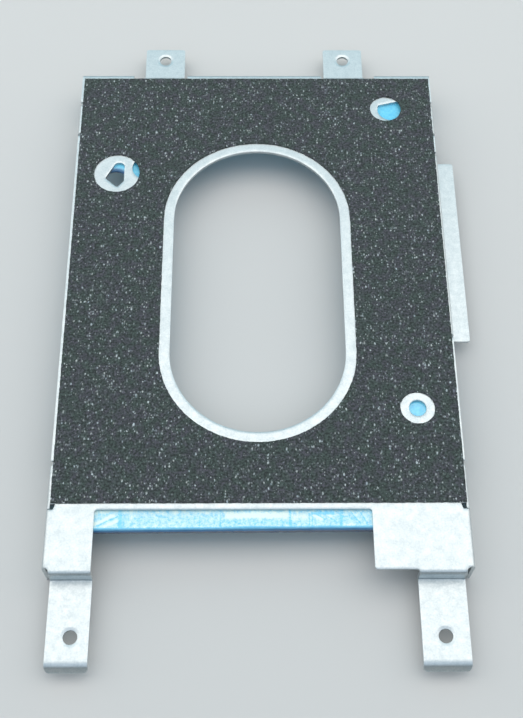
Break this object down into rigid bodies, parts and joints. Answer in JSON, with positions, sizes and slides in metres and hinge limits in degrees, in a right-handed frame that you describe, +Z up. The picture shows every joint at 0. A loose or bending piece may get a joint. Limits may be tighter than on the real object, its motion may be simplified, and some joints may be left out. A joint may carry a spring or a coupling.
{
  "type": "laptop hard drive caddy",
  "caption": "Folded steel tray that holds a 2.5 inch drive in a laptop, with an oval window, stepped legs and tabs, a foam pad on top and a blue insulating film beneath.",
  "frame": {"origin": "on the ground under the middle of the tray's overall length and width", "axes": "+Z up from the walls' lower edges to the foam pad, +Y along the tray from the legs to the tabs, +X to the side that has the flap"},
  "size_m": [0.075, 0.13, 0.0068],
  "materials": {
    "galvanised_steel": "galvanised sheet, satin, finely mottled",
    "foam": "thin charcoal foam, matt, finely speckled",
    "film": "thin sky-blue plastic film, glossy, slightly crinkled"
  },
  "bodies": {
    "root": {"steel_tray": "galvanised_steel", "foam_pad": "foam", "insulating_film": "film"}
  },
  "joints": []
}
